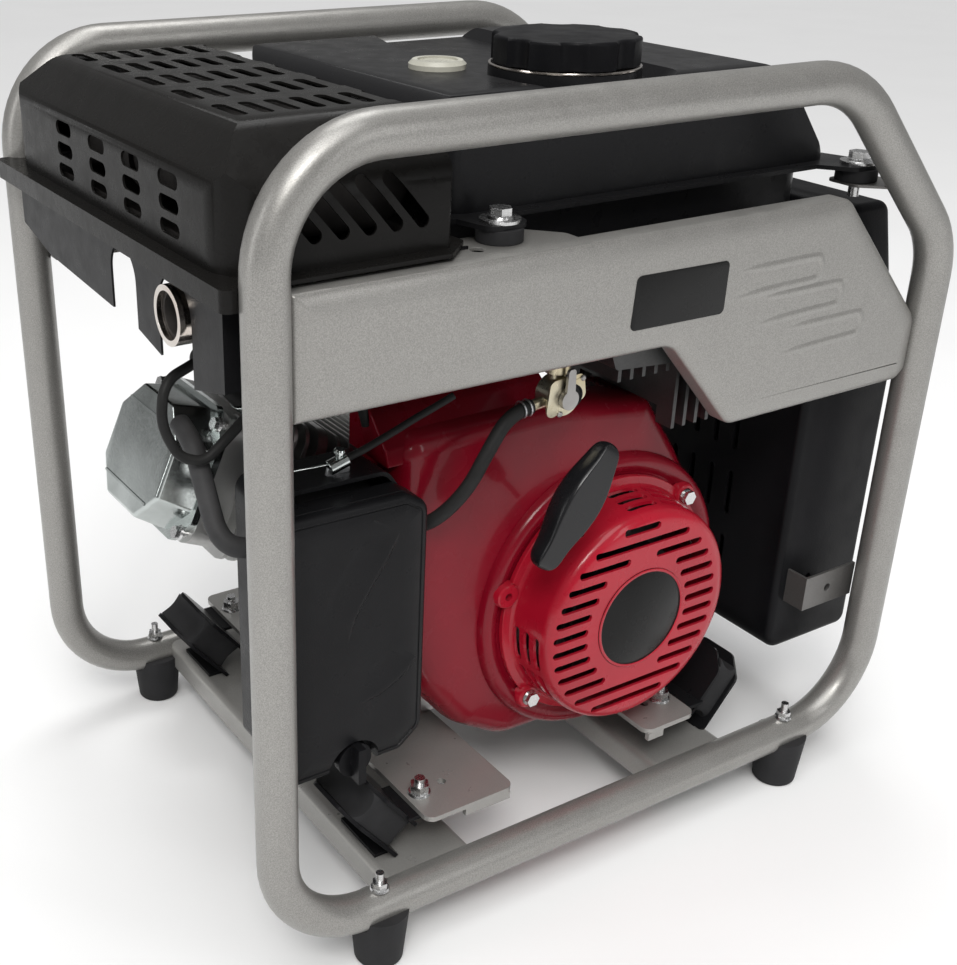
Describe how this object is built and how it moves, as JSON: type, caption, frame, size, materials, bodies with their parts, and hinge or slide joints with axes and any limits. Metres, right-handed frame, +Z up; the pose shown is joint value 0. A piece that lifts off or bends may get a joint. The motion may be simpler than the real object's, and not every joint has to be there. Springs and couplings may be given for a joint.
{
  "type": "engine driven welder",
  "caption": "Petrol welding generator with a recoil-start engine, tank, guard and inverter panel in an open tubular frame on rubber feet.",
  "frame": {"origin": "centre of the overall bounding box in plan, on the plane the four rubber feet stand on", "axes": "+X along the side hoops from the muffler end to the control panel end, +Y from the recoil starter side to the alternator side, +Z up"},
  "size_m": [0.6208, 0.429, 0.608],
  "materials": {
    "frame_paint": "satin metallic grey powder coat",
    "plate_paint": "semi-gloss light grey paint",
    "panel_paint": "satin metallic grey powder coat",
    "zinc_steel": "bright zinc plate",
    "zinc_bolt": "bright zinc plate",
    "black_rubber": "moulded rubber",
    "black_steel": "satin black paint",
    "black_powder_coat": "fine-textured black powder coat",
    "exhaust_steel": "heat-tinted sheet steel",
    "chrome_rim": "polished",
    "tank_paint": "satin black paint",
    "gauge_plastic": "pale plastic ring with a clear window",
    "black_plastic": "fine-textured moulding",
    "dark_plastic": "textured dark grey moulding",
    "valve_metal": "die-cast with yellow zinc plate",
    "cast_aluminium": "as cast",
    "bright_steel": "bright plated pressing",
    "forged_steel": "machined forging",
    "cast_iron": "as cast",
    "stator_steel": "laminations and copper windings",
    "red_gloss": "glossy red enamel",
    "red_paint": "glossy red enamel",
    "handle_rubber": "moulded grip",
    "filter_foam": "foam",
    "hose_rubber": "extruded rubber",
    "heat_sink_aluminium": "sand-cast",
    "panel_plastic": "satin panel",
    "socket_plastic": "moulded",
    "lid_plastic": "moulded",
    "knob_plastic": "moulded",
    "switch_plastic": "moulded",
    "button_plastic": "moulded"
  },
  "bodies": {
    "frame": {"ac_outlet": "socket_plastic", "air_cleaner_base": "dark_plastic", "air_cleaner_cover": "dark_plastic", "air_filter": "filter_foam", "alternator_cover": "cast_aluminium", "alternator_stator": "stator_steel", "blower_housing": "red_gloss", "breather_hose": "hose_rubber", "carburettor": "cast_aluminium", "connecting_rod": "cast_aluminium", "control_box": "black_plastic", "control_panel": "panel_plastic", "crankcase": "cast_aluminium", "crankcase_cover": "cast_aluminium", "cross_members": "plate_paint", "cylinder": "cast_aluminium", "cylinder_head": "cast_aluminium", "engine_plates": "plate_paint", "exhaust_tip": "chrome_rim", "frame_hoop_far": "frame_paint", "frame_hoop_near": "frame_paint", "fuel_gauge": "gauge_plastic", "fuel_hose": "hose_rubber", "fuel_tank": "tank_paint", "fuel_valve": "valve_metal", "ignition_lead": "hose_rubber", "inverter_module": "heat_sink_aluminium", "isolator_brackets": "black_steel", "isolator_rubbers": "black_rubber", "m6_fasteners": "zinc_bolt", "m8_fasteners": "zinc_bolt", "muffler": "exhaust_steel", "muffler_guard": "black_powder_coat", "muffler_shroud": "black_steel", "panel_brackets": "zinc_steel", "piston": "cast_aluminium", "recoil_cover": "red_paint", "rubber_feet": "black_rubber", "side_panel_far": "panel_paint", "side_panel_near": "panel_paint", "spark_plug": "bright_steel", "tank_bushes": "black_rubber", "valve_cover": "bright_steel", "weld_sockets": "socket_plastic"},
    "crank": {"crankshaft": "forged_steel", "flywheel": "cast_iron", "alternator_rotor": "cast_iron"},
    "cam": {"camshaft": "forged_steel"},
    "recoil": {"recoil_pulley": "black_plastic"},
    "pull_handle": {"starter_handle": "handle_rubber"},
    "tank_cap": {"fuel_cap": "black_plastic"},
    "valve_lever": {"fuel_valve_lever": "zinc_steel"},
    "wing_knob": {"air_cleaner_knob": "black_plastic"},
    "choke": {"choke_lever": "zinc_steel"},
    "throttle": {"throttle_lever": "zinc_steel"},
    "dipstick": {"oil_dipstick": "black_plastic"},
    "knob": {"current_knob": "knob_plastic"},
    "rocker": {"engine_switch": "switch_plastic"},
    "breaker": {"breaker_button": "button_plastic"},
    "lid": {"outlet_lid": "lid_plastic"}
  },
  "joints": [
    {"name": "crank_spin", "type": "hinge", "parent": "frame", "child": "crank", "pos_m": [0.02765, -0.003, 0.201], "axis": [0, 1, 0], "continuous": true},
    {"name": "cam_spin", "type": "hinge", "parent": "frame", "child": "cam", "pos_m": [0.07165, -0.003, 0.168], "axis": [0, 1, 0], "continuous": true},
    {"name": "recoil_pulley_turn", "type": "hinge", "parent": "frame", "child": "recoil", "pos_m": [0.02765, -0.157, 0.201], "axis": [0, 1, 0], "range_deg": [0, 860], "stiffness_Nm_per_rad": 0.006, "springref_deg": -229.18},
    {"name": "starter_pull", "type": "slide", "parent": "frame", "child": "pull_handle", "axis": [-0.3404, -0.841, 0.4205], "range_m": [0, 0.7]},
    {"name": "fuel_cap_turn", "type": "hinge", "parent": "frame", "child": "tank_cap", "pos_m": [0.00165, -0.078, 0.596], "axis": [0, 0, 1], "range_deg": [0, 90]},
    {"name": "fuel_valve_turn", "type": "hinge", "parent": "frame", "child": "valve_lever", "pos_m": [-0.04835, -0.163, 0.387], "axis": [0, 1, 0], "range_deg": [0, 90]},
    {"name": "cleaner_knob_turn", "type": "hinge", "parent": "frame", "child": "wing_knob", "pos_m": [-0.21235, -0.163, 0.154], "axis": [0, -1, 0], "range_deg": [0, 720]},
    {"name": "choke_turn", "type": "hinge", "parent": "frame", "child": "choke", "pos_m": [-0.23535, -0.089, 0.322], "axis": [0, 0, -1], "range_deg": [0, 60]},
    {"name": "throttle_turn", "type": "hinge", "parent": "frame", "child": "throttle", "pos_m": [-0.20635, -0.077, 0.316], "axis": [0, 0, -1], "range_deg": [0, 70]},
    {"name": "dipstick_turn", "type": "hinge", "parent": "frame", "child": "dipstick", "pos_m": [-0.09835, -0.045, 0.138], "axis": [1, 0, 0], "range_deg": [0, 360]},
    {"name": "current_knob_turn", "type": "hinge", "parent": "frame", "child": "knob", "pos_m": [0.29595, -0.073, 0.308], "axis": [1, 0, 0], "range_deg": [0, 270]},
    {"name": "engine_switch_rock", "type": "hinge", "parent": "frame", "child": "rocker", "pos_m": [0.29195, 0.077, 0.308], "axis": [0, -1, 0], "range_deg": [0, 8]},
    {"name": "breaker_press", "type": "slide", "parent": "frame", "child": "breaker", "axis": [-1, 0, 0], "range_m": [0, 0.003], "stiffness_N_per_m": 200},
    {"name": "outlet_lid_swing", "type": "hinge", "parent": "frame", "child": "lid", "pos_m": [0.30215, 0.077, 0.1809], "axis": [0, -1, 0], "range_deg": [0, 100], "stiffness_Nm_per_rad": 0.01}
  ],
  "couplings": [
    {"joint": "cam_spin", "follows": "crank_spin", "ratio": -0.5},
    {"joint": "starter_pull", "follows": "recoil_pulley_turn", "m_per_rad": 0.046}
  ]
}
